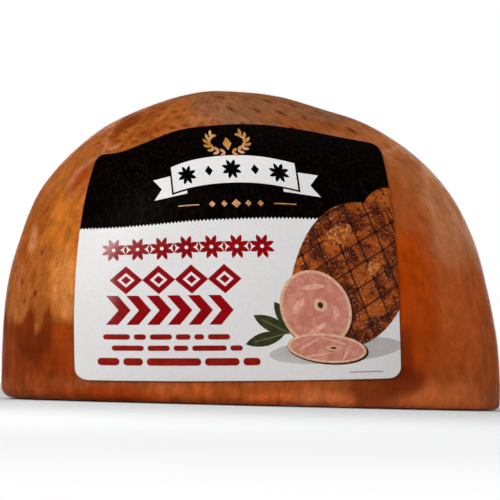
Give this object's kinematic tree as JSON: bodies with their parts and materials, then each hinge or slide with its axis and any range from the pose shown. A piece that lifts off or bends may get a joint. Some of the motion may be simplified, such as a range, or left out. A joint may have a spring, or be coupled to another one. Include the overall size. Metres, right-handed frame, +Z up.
{
  "type": "vacuum-packed half ham",
  "caption": "Smoked half ham in a tight clear film, standing on its cut face, domed above, with a curved paper label on the front.",
  "frame": {"origin": "middle of the footprint, on the surface the ham stands on", "axes": "+X to the right along the cut face's long way, the labelled front towards -Y, +Z up"},
  "size_m": [0.215, 0.1316, 0.1349],
  "materials": {
    "smoked_skin": "smoked orange-brown ham skin seen through tight glossy clear film",
    "label_paper": null
  },
  "bodies": {
    "root": {"wrapped_ham": "smoked_skin", "label": "label_paper"}
  },
  "joints": []
}
